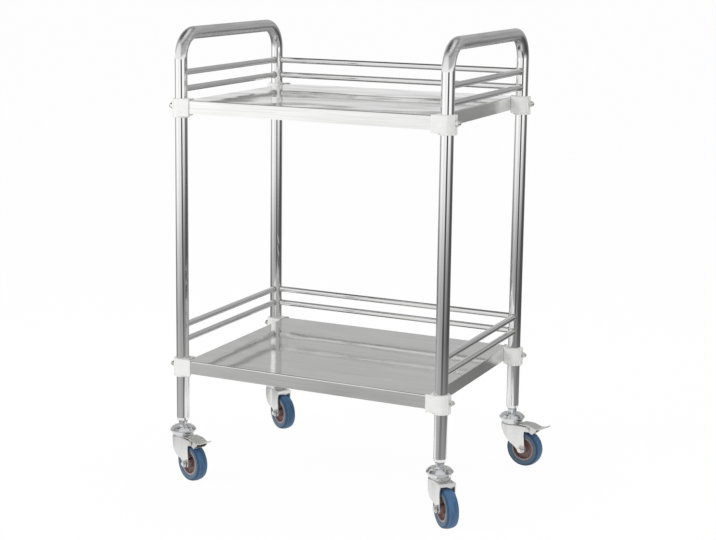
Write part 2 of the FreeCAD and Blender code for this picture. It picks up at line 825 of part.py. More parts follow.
# Castor nodes
plain_parts = {
    "stem": castor_stem(),
    "top_cup": castor_top_cup(),
    "ball_row": castor_ball_row(),
    "axle_bolt": axle_bolt(),
    "axle_nut": axle_nut(),
    "wheel_hub": wheel_hub(),
    "tyre": wheel_tyre(),
}
forks = {True: castor_fork(True), False: castor_fork(False)}
brake_parts = {"brake_pedal": brake_pedal(), "brake_pin": brake_pin()}
for corner in corners:
    braked = corner in braked_castors
    castor_parts = dict(plain_parts, fork=forks[braked])
    if braked:
        castor_parts.update(brake_parts)
    for part_name, shape in castor_parts.items():
        nodes["%s_castor_%s" % (corner, part_name)] = placed_castor(shape, corner)

# The origin is on the floor under the middle of the whole trolley's outline
everything = Part.makeCompound(list(nodes.values())).BoundBox
to_origin = Vector(-everything.Center.x, -everything.Center.y, 0)

os.makedirs("parts", exist_ok=True)
for name, shape in nodes.items():
    placed = shape.copy()
    placed.translate(to_origin)
    placed.exportStep("parts/%s.step" % name)

print("nodes", len(nodes))
print("origin shift", round(to_origin.x, 3), round(to_origin.y, 3))
print("size", round(everything.XLength, 2), round(everything.YLength, 2), round(everything.ZLength, 2))
print("leg bottom", leg_bottom, "cup top", cup_top, "crown top", crown_top)
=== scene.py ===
import bpy
import json
import math
from mathutils import Matrix, Vector


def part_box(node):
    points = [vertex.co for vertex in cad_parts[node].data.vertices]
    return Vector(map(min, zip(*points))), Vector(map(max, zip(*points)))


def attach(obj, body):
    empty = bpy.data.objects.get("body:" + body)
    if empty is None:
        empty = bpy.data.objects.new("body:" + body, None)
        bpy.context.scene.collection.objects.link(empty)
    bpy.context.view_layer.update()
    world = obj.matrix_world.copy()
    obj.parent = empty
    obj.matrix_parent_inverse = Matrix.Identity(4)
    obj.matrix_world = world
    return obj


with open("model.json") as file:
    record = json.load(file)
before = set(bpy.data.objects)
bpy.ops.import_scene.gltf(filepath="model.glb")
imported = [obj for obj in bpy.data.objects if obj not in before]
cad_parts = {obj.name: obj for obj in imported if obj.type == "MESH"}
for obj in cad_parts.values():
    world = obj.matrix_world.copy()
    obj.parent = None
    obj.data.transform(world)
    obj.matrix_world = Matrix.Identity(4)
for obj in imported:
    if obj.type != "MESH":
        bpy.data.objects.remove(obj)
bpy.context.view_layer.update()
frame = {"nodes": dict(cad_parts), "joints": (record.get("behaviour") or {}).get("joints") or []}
nodes = frame["nodes"]
scene = bpy.context.scene
scene.view_settings.view_transform = "Standard"

# The trolley's own sizes are given in millimetres, and this factor turns them to metres.
MM = 0.001

# End frames
# Two upside-down U frames, each one length of 25 mm stainless tube: two legs and the push
# handle between them. The tube is bent cold, belt-polished to a near mirror, and drawn in at
# its lower ends to meet the castors.
frame_low, frame_high = (Vector(corner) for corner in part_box("end_frame_left"))
far_low = Vector(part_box("end_frame_right")[0])
tube_radius = (frame_high.x - frame_low.x) / 2
leg_x = {"left": frame_low.x + tube_radius, "right": far_low.x + tube_radius}
leg_y = {"front": frame_low.y + tube_radius, "back": frame_high.y - tube_radius}
handle_bend_radius = 48 * MM


def add_node(tree, kind, sockets=None, **settings):
    """Adds a node. A socket gets a value, or a link from an output or from a node's first one."""
    node = tree.nodes.new(kind)
    for name, value in settings.items():
        setattr(node, name, value)
    for name, value in (sockets or {}).items():
        if isinstance(value, bpy.types.Node):
            value = value.outputs[0]
        if isinstance(value, bpy.types.NodeSocket):
            tree.links.new(value, node.inputs[name])
        else:
            node.inputs[name].default_value = value
    return node


def colour(code):
    """Linear red, green, blue and alpha of an sRGB hex colour."""
    channels = [int(code[place:place + 2], 16) / 255 for place in (1, 3, 5)]
    linear = [c / 12.92 if c <= 0.04045 else ((c + 0.055) / 1.055) ** 2.4 for c in channels]
    return (*linear, 1.0)


def new_material(name):
    """An empty material, its node tree, and the Object coordinates that its patterns follow."""
    material = bpy.data.materials.new(name)
    material.use_nodes = True
    tree = material.node_tree
    tree.nodes.clear()
    place = add_node(tree, "ShaderNodeTexCoord").outputs["Object"]
    return material, tree, place


def per_mm(x, y=None, z=None):
    """A Mapping scale that repeats a pattern once in the given millimetres along each axis."""
    sizes = (x, x if y is None else y, x if z is None else z)
    return [1 / (size * MM) for size in sizes]


def grain(tree, place, sizes, detail=3.0):
    """Noise whose grains have the given sizes in millimetres, from 0 to 1."""
    mapped = add_node(tree, "ShaderNodeMapping", {"Vector": place, "Scale": per_mm(*sizes)})
    sockets = {"Vector": mapped, "Scale": 1.0, "Detail": detail}
    return add_node(tree, "ShaderNodeTexNoise", sockets).outputs["Fac"]


def between(tree, pattern, low, high):
    """A number that goes from low to high as a pattern goes from 0.3 to 0.7."""
    sockets = {"Value": pattern, "From Min": 0.3, "From Max": 0.7, "To Min": low, "To Max": high}
    return add_node(tree, "ShaderNodeMapRange", sockets)


def blend_colours(tree, pattern, first, second):
    """A colour between two, by a pattern from 0 to 1. Each is a hex code or comes from a node."""
    first, second = (colour(end) if isinstance(end, str) else end for end in (first, second))
    mixed = add_node(tree, "ShaderNodeMix", {0: pattern, 6: first, 7: second}, data_type="RGBA")
    return mixed.outputs[2]


def finish(tree, sockets):
    """The material's surface and output from its Principled shader's sockets."""
    surface = add_node(tree, "ShaderNodeBsdfPrincipled", sockets)
    add_node(tree, "ShaderNodeOutputMaterial", {"Surface": surface})


def dress(names, material):
    """Gives nodes of the frame one material all over."""
    for name in names:
        nodes[name].data.materials.clear()
        nodes[name].data.materials.append(material)


# Stainless steel tube, belt-polished. Sharp reflections, a little blurred by hand marks some
# 60 mm across and by the last belt's scratches along the tube, drawn about 1 mm wide on the legs
# and 3.5 mm wide on the handle so that they show. Hands have rubbed the handle more satin.
polished_tube, tree, place = new_material("belt_polished_stainless_tube")
hand_marks = grain(tree, place, (60, 60, 90), detail=4.0)
along_legs = grain(tree, place, (1.2, 1.2, 14))
along_handle = grain(tree, place, (3.5, 90, 3.5), detail=4.0)
handle_starts = frame_high.z - 1.3 * handle_bend_radius
handle_underside = frame_high.z - 2 * tube_radius
on_handle = add_node(tree, "ShaderNodeMapRange", {
    "Value": add_node(tree, "ShaderNodeSeparateXYZ", {0: place}).outputs["Z"],
    "From Min": handle_starts,
    "From Max": handle_underside,
}, interpolation_type="SMOOTHSTEP")
belt_marks = add_node(tree, "ShaderNodeMix", {0: on_handle, 2: along_legs, 3: along_handle})
scratch_strength = add_node(tree, "ShaderNodeMath", {
    0: on_handle, 1: 0.15, 2: 0.05,
}, operation="MULTIPLY_ADD")
scratches = add_node(tree, "ShaderNodeBump", {
    "Height": belt_marks, "Strength": scratch_strength, "Distance": 0.05 * MM,
})
rubbed_lines = add_node(tree, "ShaderNodeMath", {
    0: on_handle, 1: between(tree, along_handle, 0.0, 0.45),
}, operation="MULTIPLY")
rubbed_dull = add_node(tree, "ShaderNodeMath", {
    0: on_handle, 1: between(tree, along_handle, 0.16, 0.26),
}, operation="MULTIPLY")
polish = blend_colours(tree, hand_marks, "#e6e7e7", "#f0f0ef")
finish(tree, {
    "Base Color": blend_colours(tree, rubbed_lines, polish, "#9fa0a0"),
    "Metallic": 1.0,
    "Roughness": add_node(tree, "ShaderNodeMath", {
        0: between(tree, hand_marks, 0.035, 0.075), 1: rubbed_dull,
    }, operation="ADD"),
    "Normal": scratches,
})
dress(["end_frame_left", "end_frame_right"], polished_tube)


# Guard rails
# Twelve 12 mm stainless rods, two at each end and two at the back of either shelf. Each rod is
# cut to a saddle and welded all round to the leg, and the bead is left as a fine rippled ring.
levels = ("upper", "lower")
rail_nodes = ["%s_rails_%s" % (level, side) for level in levels for side in ("left", "right", "back")]
rail_radius = 6 * MM
bead_radius = 1.1 * MM
bead_stand_off = 0.3 * MM
bead_ripples = 22
ripple_share = 0.12


def node_tree(name, numbers):
    """An empty geometry tree with its geometry and number inputs, and its input node's outputs."""
    tree = bpy.data.node_groups.new(name, "GeometryNodeTree")
    tree.interface.new_socket("Geometry", in_out="INPUT", socket_type="NodeSocketGeometry")
    for number in numbers:
        kind = "NodeSocketInt" if number in ("Count", "Ripples", "Seed") else "NodeSocketFloat"
        tree.interface.new_socket(number, in_out="INPUT", socket_type=kind)
    tree.interface.new_socket("Geometry", in_out="OUTPUT", socket_type="NodeSocketGeometry")
    return tree, add_node(tree, "NodeGroupInput").outputs


def end_tree(tree, geometry, material):
    """Ends a geometry tree: instances made real, shaded smooth, and given their material."""
    real = add_node(tree, "GeometryNodeRealizeInstances", {"Geometry": geometry})
    smooth = add_node(tree, "GeometryNodeSetShadeSmooth", {"Geometry": real})
    clad = add_node(tree, "GeometryNodeSetMaterial", {"Geometry": smooth, "Material": material})
    add_node(tree, "NodeGroupOutput", {"Geometry": clad})


def turned_copies(tree, points, instance):
    """Copies of a shape on points, each turned by its point's own 'turn'."""
    turn = add_node(tree, "GeometryNodeInputNamedAttribute", {"Name": "turn"}, data_type="FLOAT_VECTOR")
    rotation = add_node(tree, "FunctionNodeEulerToRotation", {0: turn})
    sockets = {"Points": points, "Instance": instance, "Rotation": rotation}
    return add_node(tree, "GeometryNodeInstanceOnPoints", sockets)


def grow(name, tree, sizes, spots, body):
    """Runs a geometry tree on (place, turn) spots and keeps the result as a plain mesh on a body."""
    points = bpy.data.meshes.new(name)
    points.from_pydata([spot for spot, turn in spots], [], [])
    turns = points.attributes.new("turn", "FLOAT_VECTOR", "POINT")
    for kept, (spot, turn) in zip(turns.data, spots):
        kept.vector = turn
    piece = bpy.data.objects.new(name, points)
    modifier = piece.modifiers.new("growth", "NODES")
    modifier.node_group = tree
    for socket in tree.interface.items_tree:
        if socket.name in sizes:
            modifier[socket.identifier] = sizes[socket.name]
    scene.collection.objects.link(piece)
    bpy.context.view_layer.update()
    grown = piece.evaluated_get(bpy.context.evaluated_depsgraph_get())
    mesh = bpy.data.meshes.new_from_object(grown)
    piece.modifiers.clear()
    piece.data = mesh
    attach(piece, body)


# Stainless rod, drawn bright and hand-polished: a little softer than the tube, with faint
# draw lines, coarser here than the real 0.1 mm so that they show.
drawn_rod, tree, place = new_material("bright_drawn_stainless_rod")
draw_marks = grain(tree, place, (8, 8, 1.4))
soft_marks = grain(tree, place, (45, 45, 45))
lines = add_node(tree, "ShaderNodeBump", {"Height": draw_marks, "Strength": 0.06, "Distance": 0.05 * MM})
finish(tree, {
    "Base Color": blend_colours(tree, soft_marks, "#dfe0e0", "#ebebea"),
    "Metallic": 1.0,
    "Roughness": between(tree, soft_marks, 0.05, 0.09),
    "Normal": lines,
})
dress(rail_nodes, drawn_rod)

# Weld metal, wire-brushed: duller than the tube and a little straw-coloured by the heat.
weld_metal, tree, place = new_material("wire_brushed_weld")
heat = grain(tree, place, (2.5,))
finish(tree, {
    "Base Color": blend_colours(tree, heat, "#a9a49b", "#c9c7c1"),
    "Metallic": 1.0,
    "Roughness": between(tree, heat, 0.28, 0.42),
})

bead_inputs = ("Rod radius", "Tube radius", "Bead radius", "Ripples", "Seed")
beads, inputs = node_tree("saddle_weld_bead", bead_inputs)
ring = add_node(beads, "GeometryNodeCurvePrimitiveCircle", {"Resolution": 44, "Radius": 1.0})
position = add_node(beads, "GeometryNodeInputPosition")
on_ring = add_node(beads, "ShaderNodeSeparateXYZ", {0: position}).outputs
across = add_node(beads, "ShaderNodeMath", {
    0: on_ring["X"], 1: inputs["Rod radius"],
}, operation="MULTIPLY")
above = add_node(beads, "ShaderNodeMath", {
    0: on_ring["Y"], 1: inputs["Rod radius"],
}, operation="MULTIPLY")
# The saddle lies on the tube: its depth is the root of the tube's radius squared less the
# square of how far across the tube a point is.
tube_square = add_node(beads, "ShaderNodeMath", {
    0: inputs["Tube radius"], 1: inputs["Tube radius"],
}, operation="MULTIPLY")
across_square = add_node(beads, "ShaderNodeMath", {0: across, 1: across}, operation="MULTIPLY")
depth_square = add_node(beads, "ShaderNodeMath", {
    0: tube_square, 1: across_square,
}, operation="SUBTRACT")
depth = add_node(beads, "ShaderNodeMath", {0: depth_square}, operation="SQRT")
on_saddle = add_node(beads, "ShaderNodeCombineXYZ", {0: depth, 1: across, 2: above})
saddle = add_node(beads, "GeometryNodeSetPosition", {"Geometry": ring, "Position": on_saddle})
along_bead = add_node(beads, "GeometryNodeSplineParameter").outputs["Factor"]
once_round = add_node(beads, "ShaderNodeMath", {0: along_bead, 1: 2 * math.pi}, operation="MULTIPLY")
ripple_turn = add_node(beads, "ShaderNodeMath", {
    0: once_round, 1: inputs["Ripples"],
}, operation="MULTIPLY")
wave = add_node(beads, "ShaderNodeMath", {0: ripple_turn}, operation="SINE")
ripple = add_node(beads, "ShaderNodeMath", {0: wave, 1: ripple_share}, operation="MULTIPLY")
uneven = add_node(beads, "FunctionNodeRandomValue", {2: 0.9, 3: 1.1, "Seed": inputs["Seed"]})
bead_width = add_node(beads, "ShaderNodeMath", {0: uneven.outputs[1], 1: ripple}, operation="ADD")
rippled = add_node(beads, "GeometryNodeSetCurveRadius", {"Curve": saddle, "Radius": bead_width})
bead_section = add_node(beads, "GeometryNodeCurvePrimitiveCircle", {
    "Resolution": 8, "Radius": inputs["Bead radius"],
})
bead = add_node(beads, "GeometryNodeCurveToMesh", {
    "Curve": rippled, "Profile Curve": bead_section, "Scale": bead_width,
})
end_tree(beads, turned_copies(beads, inputs["Geometry"], bead), weld_metal)

weld_spots = []
for level in levels:
    low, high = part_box("%s_rails_back" % level)
    for height in (low[2] + rail_radius, high[2] - rail_radius):
        for side in ("left", "right"):
            weld_spots.append(((leg_x[side], leg_y["front"], height), (0, 0, math.pi / 2)))
            weld_spots.append(((leg_x[side], leg_y["back"], height), (0, 0, -math.pi / 2)))
        weld_spots.append(((leg_x["left"], leg_y["back"], height), (0, 0, 0)))
        weld_spots.append(((leg_x["right"], leg_y["back"], height), (0, 0, math.pi)))
bead_sizes = {
    "Rod radius": rail_radius + bead_stand_off,
    "Tube radius": tube_radius + bead_stand_off,
    "Bead radius": bead_radius,
    "Ripples": bead_ripples,
    "Seed": 4,
}
grow("rail_weld_beads", beads, bead_sizes, weld_spots, "frame")


# Trays
# Two shelves, each folded from 1.2 mm stainless sheet with a deep apron on all sides and a
# return along its lower edge. The top is left satin from the mill and is never quite flat.
def satin_sheet(name, clean, dusty, flat_roughness, side_roughness, swell_mm):
    """Satin stainless sheet: gently wavy, glossy where it lies flat, brushed duller on its sides."""
    material, tree, place = new_material(name)
    # The brush runs along each face's length. Its real lines are 0.1 mm apart. Here they are
    # some 2 mm, so that they show.
    along_length = grain(tree, place, (150, 2.0, 2.0), detail=4.0)
    on_ends = grain(tree, place, (2.0, 150, 2.0), detail=4.0)
    # A face is an end or lies flat where its normal is within about 45 degrees of that axis.
    half_turned = 0.7
    normal = add_node(tree, "ShaderNodeNewGeometry").outputs["True Normal"]
    unsigned = add_node(tree, "ShaderNodeVectorMath", {0: normal}, operation="ABSOLUTE")
    facing = add_node(tree, "ShaderNodeSeparateXYZ", {0: unsigned}).outputs
    is_end = add_node(tree, "ShaderNodeMath", {
        0: facing["X"], 1: half_turned,
    }, operation="GREATER_THAN")
    is_flat = add_node(tree, "ShaderNodeMath", {
        0: facing["Z"], 1: half_turned,
    }, operation="GREATER_THAN")
    brushing = add_node(tree, "ShaderNodeMix", {0: is_end, 2: along_length, 3: on_ends})
    wipes = grain(tree, place, (140, 45, 45), detail=4.0)
    swell = grain(tree, place, (150, 95, 95), detail=1.0)
    wavy = add_node(tree, "ShaderNodeBump", {
        "Height": swell, "Strength": 1.0, "Distance": swell_mm * MM,
    })
    fine = add_node(tree, "ShaderNodeBump", {
        "Height": brushing, "Strength": 0.25, "Distance": 0.04 * MM, "Normal": wavy,
    })
    marked = add_node(tree, "ShaderNodeMix", {0: 0.6, 2: wipes, 3: brushing})
    finish(tree, {
        "Base Color": blend_colours(tree, between(tree, marked, 0.0, 1.0), dusty, clean),
        "Metallic": 1.0,
        "Roughness": add_node(tree, "ShaderNodeMix", {
            0: is_flat,
            2: between(tree, marked, side_roughness + 0.06, side_roughness),
            3: between(tree, marked, flat_roughness + 0.04, flat_roughness),
        }),
        "Normal": fine,
    })
    return material


# Satin stainless sheet: soft mirror images that bend where the sheet swells by a millimetre
# over a hand's width. The lower shelf gets more wear from wiping, and is a little duller.
satin_steel = satin_sheet(
    "satin_brushed_stainless_sheet", clean="#fcfcfb", dusty="#e9e9e8",
    flat_roughness=0.035, side_roughness=0.19, swell_mm=1.1,
)
dress(["upper_tray"], satin_steel)
wiped_steel = satin_sheet(
    "wiped_brushed_stainless_sheet", clean="#fcfcfb", dusty="#e0e0df",
    flat_roughness=0.06, side_roughness=0.19, swell_mm=0.6,
)
dress(["lower_tray"], wiped_steel)


# Tray channels
# A hat-section stiffener under the middle of each tray, folded from the same sheet and held by
# two rows of spot welds, whose round dimples show from below.
channel_flange_middle = 23 * MM
sheet_thickness = 1.2 * MM
spot_weld_count = 9
spot_weld_radius = 2.8 * MM
spot_weld_top_share = 0.7
spot_weld_height = 0.25 * MM

dull_steel = satin_sheet(
    "dull_brushed_stainless_sheet", clean="#c9c9c7", dusty="#b3b3b1",
    flat_roughness=0.3, side_roughness=0.3, swell_mm=0.4,
)
dress(["upper_tray_channel", "lower_tray_channel"], dull_steel)

# Spot-welded steel: the sheet's own metal, pressed and blued at the rim by the electrode.
weld_nugget, tree, place = new_material("spot_weld_nugget")
bluing = grain(tree, place, (1.6,))
finish(tree, {
    "Base Color": blend_colours(tree, bluing, "#8d8f95", "#b9b8b4"),
    "Metallic": 1.0,
    "Roughness": between(tree, bluing, 0.3, 0.45),
})

nuggets, inputs = node_tree("row_of_spot_welds", ("Count", "Spacing", "Radius", "Height"))
step = add_node(nuggets, "ShaderNodeCombineXYZ", {0: inputs["Spacing"]})
row_points = add_node(nuggets, "GeometryNodeMeshLine", {"Count": inputs["Count"], "Offset": step})
top_radius = add_node(nuggets, "ShaderNodeMath", {
    0: inputs["Radius"], 1: spot_weld_top_share,
}, operation="MULTIPLY")
nugget = add_node(nuggets, "GeometryNodeMeshCone", {
    "Vertices": 20,
    "Radius Top": top_radius,
    "Radius Bottom": inputs["Radius"],
    "Depth": inputs["Height"],
})
row = add_node(nuggets, "GeometryNodeInstanceOnPoints", {"Points": row_points, "Instance": nugget})
end_tree(nuggets, turned_copies(nuggets, inputs["Geometry"], row), weld_nugget)

for level in levels:
    low, high = (Vector(corner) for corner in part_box("%s_tray_channel" % level))
    spacing = (high.x - low.x) / spot_weld_count
    flange_underside = high.z - sheet_thickness
    middle = (low.y + high.y) / 2
    spots = []
    for row_y in (middle - channel_flange_middle, middle + channel_flange_middle):
        spots.append(((high.x - spacing / 2, row_y, flange_underside), (0, math.pi, 0)))
    nugget_sizes = {
        "Count": spot_weld_count,
        "Spacing": spacing,
        "Radius": spot_weld_radius,
        "Height": spot_weld_height,
    }
    grow("%s_channel_spot_welds" % level, nuggets, nugget_sizes, spots, "frame")


# Corner brackets
# Eight moulded white nylon brackets. A sleeve slides over the leg, and its block laps over the
# tray's corner. Each comes out of its mould with soft edges and a fine matt skin.
bracket_nodes = [
    "%s_bracket_%s_%s" % (level, row, side)
    for level in levels for row in ("front", "back") for side in ("left", "right")
]
moulded_edge = 1.3 * MM

# Nylon, injection-moulded: bright white with a satin skin, its grain drawn at 1.5 mm so that
# it shows, faint flow marks, and edges that catch the light.
white_nylon, tree, place = new_material("moulded_white_nylon")
flow = grain(tree, place, (22, 22, 9), detail=2.0)
skin = grain(tree, place, (1.5,), detail=2.0)
soft_edge = add_node(tree, "ShaderNodeBevel", {"Radius": moulded_edge}, samples=8)
matt = add_node(tree, "ShaderNodeBump", {
    "Height": skin, "Strength": 0.12, "Distance": 0.06 * MM, "Normal": soft_edge,
})
finish(tree, {
    "Base Color": blend_colours(tree, flow, "#e9e9e7", "#f5f5f3"),
    "Roughness": between(tree, flow, 0.36, 0.46),
    "IOR": 1.53,
    "Normal": matt,
})
dress(bracket_nodes, white_nylon)


# Corner bolts and cap nuts
# An M6 bolt goes from inside each tray apron through bracket and leg to a domed cap nut on the
# outside. Both are steel with bright nickel plate.
nut_edge = 0.35 * MM

# Nickel plate: a warm bright metal with fine wrench marks and slightly rounded edges.
nickel, tree, place = new_material("bright_nickel_plate")
handling = grain(tree, place, (3,))
nut_round = add_node(tree, "ShaderNodeBevel", {"Radius": nut_edge}, samples=8)
tool_marks = add_node(tree, "ShaderNodeBump", {
    "Height": handling, "Strength": 0.1, "Distance": 0.05 * MM, "Normal": nut_round,
})
finish(tree, {
    "Base Color": blend_colours(tree, handling, "#dbdad6", "#ecebe9"),
    "Metallic": 1.0,
    "Roughness": between(tree, handling, 0.14, 0.24),
    "Normal": tool_marks,
})
dress(["corner_bolts", "cap_nuts"], nickel)


# Leg bushes
# A turned steel bush is pressed into the foot of each leg, and the castor's stem screws into it.
# It can only be seen with the castor out.
turned_steel, tree, place = new_material("turned_steel")
tool_rings = grain(tree, place, (9, 9, 0.7))
rings = add_node(tree, "ShaderNodeBump", {"Height": tool_rings, "Strength": 0.3, "Distance": 0.08 * MM})
finish(tree, {
    "Base Color": blend_colours(tree, tool_rings, "#8b8a87", "#a5a4a0"),
    "Metallic": 1.0,
    "Roughness": between(tree, tool_rings, 0.32, 0.45),
    "Normal": rings,
})
dress(["leg_bushes"], turned_steel)


# Castor heads
# Each castor has a turned stem with its collar and king pin, and a pressed double-cone cup that
# covers the ball race. Both are bright chrome over nickel on steel.
corners = ("front_left", "back_left", "front_right", "back_right")
joints = {joint["name"]: joint for joint in frame["joints"]}
plated_edge = 0.5 * MM


def about_axis(tree, place, middle, axis):
    """The place as seen from a point on an axis, turned so that Z runs along that axis."""
    turn = Vector(axis).to_track_quat("Z", "Y").to_euler()
    sockets = {"Vector": place, "Location": middle, "Rotation": turn}
    return add_node(tree, "ShaderNodeMapping", sockets, vector_type="TEXTURE")


def off_and_along(tree, turned_place):
    """How far a place that about_axis gave is off the axis, and how far along it."""
    parts = add_node(tree, "ShaderNodeSeparateXYZ", {0: turned_place}).outputs
    flat = add_node(tree, "ShaderNodeCombineXYZ", {0: parts["X"], 1: parts["Y"]})
    off_axis = add_node(tree, "ShaderNodeVectorMath", {0: flat}, operation="LENGTH")
    return off_axis.outputs["Value"], parts["Z"]


for corner in corners:
    # Chrome plate: a dark clear mirror. The polishing mop leaves rings about the swivel axis,
    # drawn 0.8 mm apart so that they show.
    chrome, tree, place = new_material("chrome_plate_" + corner)
    stem_place = about_axis(tree, place, joints[corner + "_swivel"]["pos_m"], (0, 0, 1))
    radius, height = off_and_along(tree, stem_place)
    rings_place = add_node(tree, "ShaderNodeCombineXYZ", {0: radius, 2: height})
    mop = grain(tree, rings_place, (0.8,))
    haze = grain(tree, place, (14,), detail=3.0)
    chrome_edge = add_node(tree, "ShaderNodeBevel", {"Radius": plated_edge}, samples=8)
    polish = add_node(tree, "ShaderNodeBump", {
        "Height": mop, "Strength": 0.08, "Distance": 0.05 * MM, "Normal": chrome_edge,
    })
    finish(tree, {
        "Base Color": blend_colours(tree, haze, "#d4d5d7", "#e4e5e6"),
        "Metallic": 1.0,
        "Roughness": between(tree, haze, 0.04, 0.08),
        "Normal": polish,
    })
    dress([corner + "_castor_stem", corner + "_castor_top_cup"], chrome)


# Ball rows
# Eight 6 mm bearing balls run between the fork's raised race and the cup. They are hardened
# chrome steel in grease, and show only in the narrow gap.
greased, tree, place = new_material("greased_bearing_steel")
film = grain(tree, place, (1.5,))
finish(tree, {
    "Base Color": blend_colours(tree, film, "#6e6a60", "#a3a19c"),
    "Metallic": 1.0,
    "Roughness": between(tree, film, 0.1, 0.3),
    "Coat Weight": 0.3,
    "Coat Roughness": 0.2,
})
dress([corner + "_castor_ball_row" for corner in corners], greased)


# Forks
# Each fork is pressed from 2 mm steel sheet, with a raised race on its crown, a lip at the back
# and two legs swept to the axle. It is zinc-plated and passivated.
fork_nodes = [corner + "_castor_fork" for corner in corners]
sheet_edge = 0.7 * MM

# Zinc plate, clear-passivated: pale grey with a soft sheen, cloudy patches some 12 mm across,
# and upright draw marks from the press.
zinc, tree, place = new_material("passivated_zinc_plate")
clouds = grain(tree, place, (12,), detail=3.0)
press_marks = grain(tree, place, (1.4, 1.4, 22), detail=2.0)
fork_round = add_node(tree, "ShaderNodeBevel", {"Radius": sheet_edge}, samples=8)
drawn = add_node(tree, "ShaderNodeBump", {
    "Height": press_marks, "Strength": 0.3, "Distance": 0.06 * MM, "Normal": fork_round,
})
finish(tree, {
    "Base Color": blend_colours(tree, clouds, "#e6e6e4", "#f4f4f4"),
    "Metallic": 1.0,
    "Roughness": between(tree, clouds, 0.26, 0.38),
    "Normal": drawn,
})
dress(fork_nodes, zinc)


# Wheel axles
# An M8 bolt is the axle, with a locking nut outside the fork. The thread that stands out past
# the nut is cut as a fine ridge.
thread_pitch = 1.25 * MM
thread_depth = 0.35 * MM
axle_radius = 4 * MM
dress([corner + "_castor_" + part for corner in corners for part in ("axle_bolt", "axle_nut")], nickel)

thread, inputs = node_tree("screw_thread", ("Thread radius", "Thread depth", "Pitch", "Length"))
turns = add_node(thread, "ShaderNodeMath", {
    0: inputs["Length"], 1: inputs["Pitch"],
}, operation="DIVIDE")
helix = add_node(thread, "GeometryNodeCurveSpiral", {
    "Resolution": 28,
    "Rotations": turns,
    "Start Radius": inputs["Thread radius"],
    "End Radius": inputs["Thread radius"],
    "Height": inputs["Length"],
})
ridge = add_node(thread, "GeometryNodeCurvePrimitiveCircle", {
    "Resolution": 4, "Radius": inputs["Thread depth"],
})
cut_thread = add_node(thread, "GeometryNodeCurveToMesh", {
    "Curve": helix, "Profile Curve": ridge, "Fill Caps": True,
})
end_tree(thread, turned_copies(thread, inputs["Geometry"], cut_thread), nickel)

for corner in corners:
    body = "swivel_" + corner
    spin = joints[corner + "_wheel_spin"]
    middle = Vector(spin["pos_m"])
    axis = Vector(spin["axis"])
    bolt_points = nodes[corner + "_castor_axle_bolt"].data.vertices
    nut_points = nodes[corner + "_castor_axle_nut"].data.vertices
    bolt_tip = min((point.co - middle).dot(axis) for point in bolt_points)
    nut_face = min((point.co - middle).dot(axis) for point in nut_points)
    thread_sizes = {
        "Thread radius": axle_radius,
        "Thread depth": thread_depth,
        "Pitch": thread_pitch,
        "Length": nut_face - bolt_tip - 2 * thread_depth,
    }
    spot = middle + axis * bolt_tip + axis * thread_depth
    turn = axis.to_track_quat("Z", "Y").to_euler()
    grow(corner + "_axle_thread", thread, thread_sizes, [(spot, turn)], body)


# Wheels
# A reddish-brown nylon hub runs on the axle. Its rim has a worn grey edge ring, and a blue
# rubber tyre is moulded round it, with fine lines round its tread from the mould.
wheel_radius = 37.5 * MM
wall_starts = wheel_radius - 4.2 * MM
wall_full = wheel_radius - 6.5 * MM
tyre_half_width = 11.75 * MM
shoulder_starts = 0.62 * tyre_half_width
shoulder_full = 0.93 * tyre_half_width
rim_ring_inner = 21.2 * MM
rim_ring_height = 9.5 * MM
hub_edge = 0.6 * MM

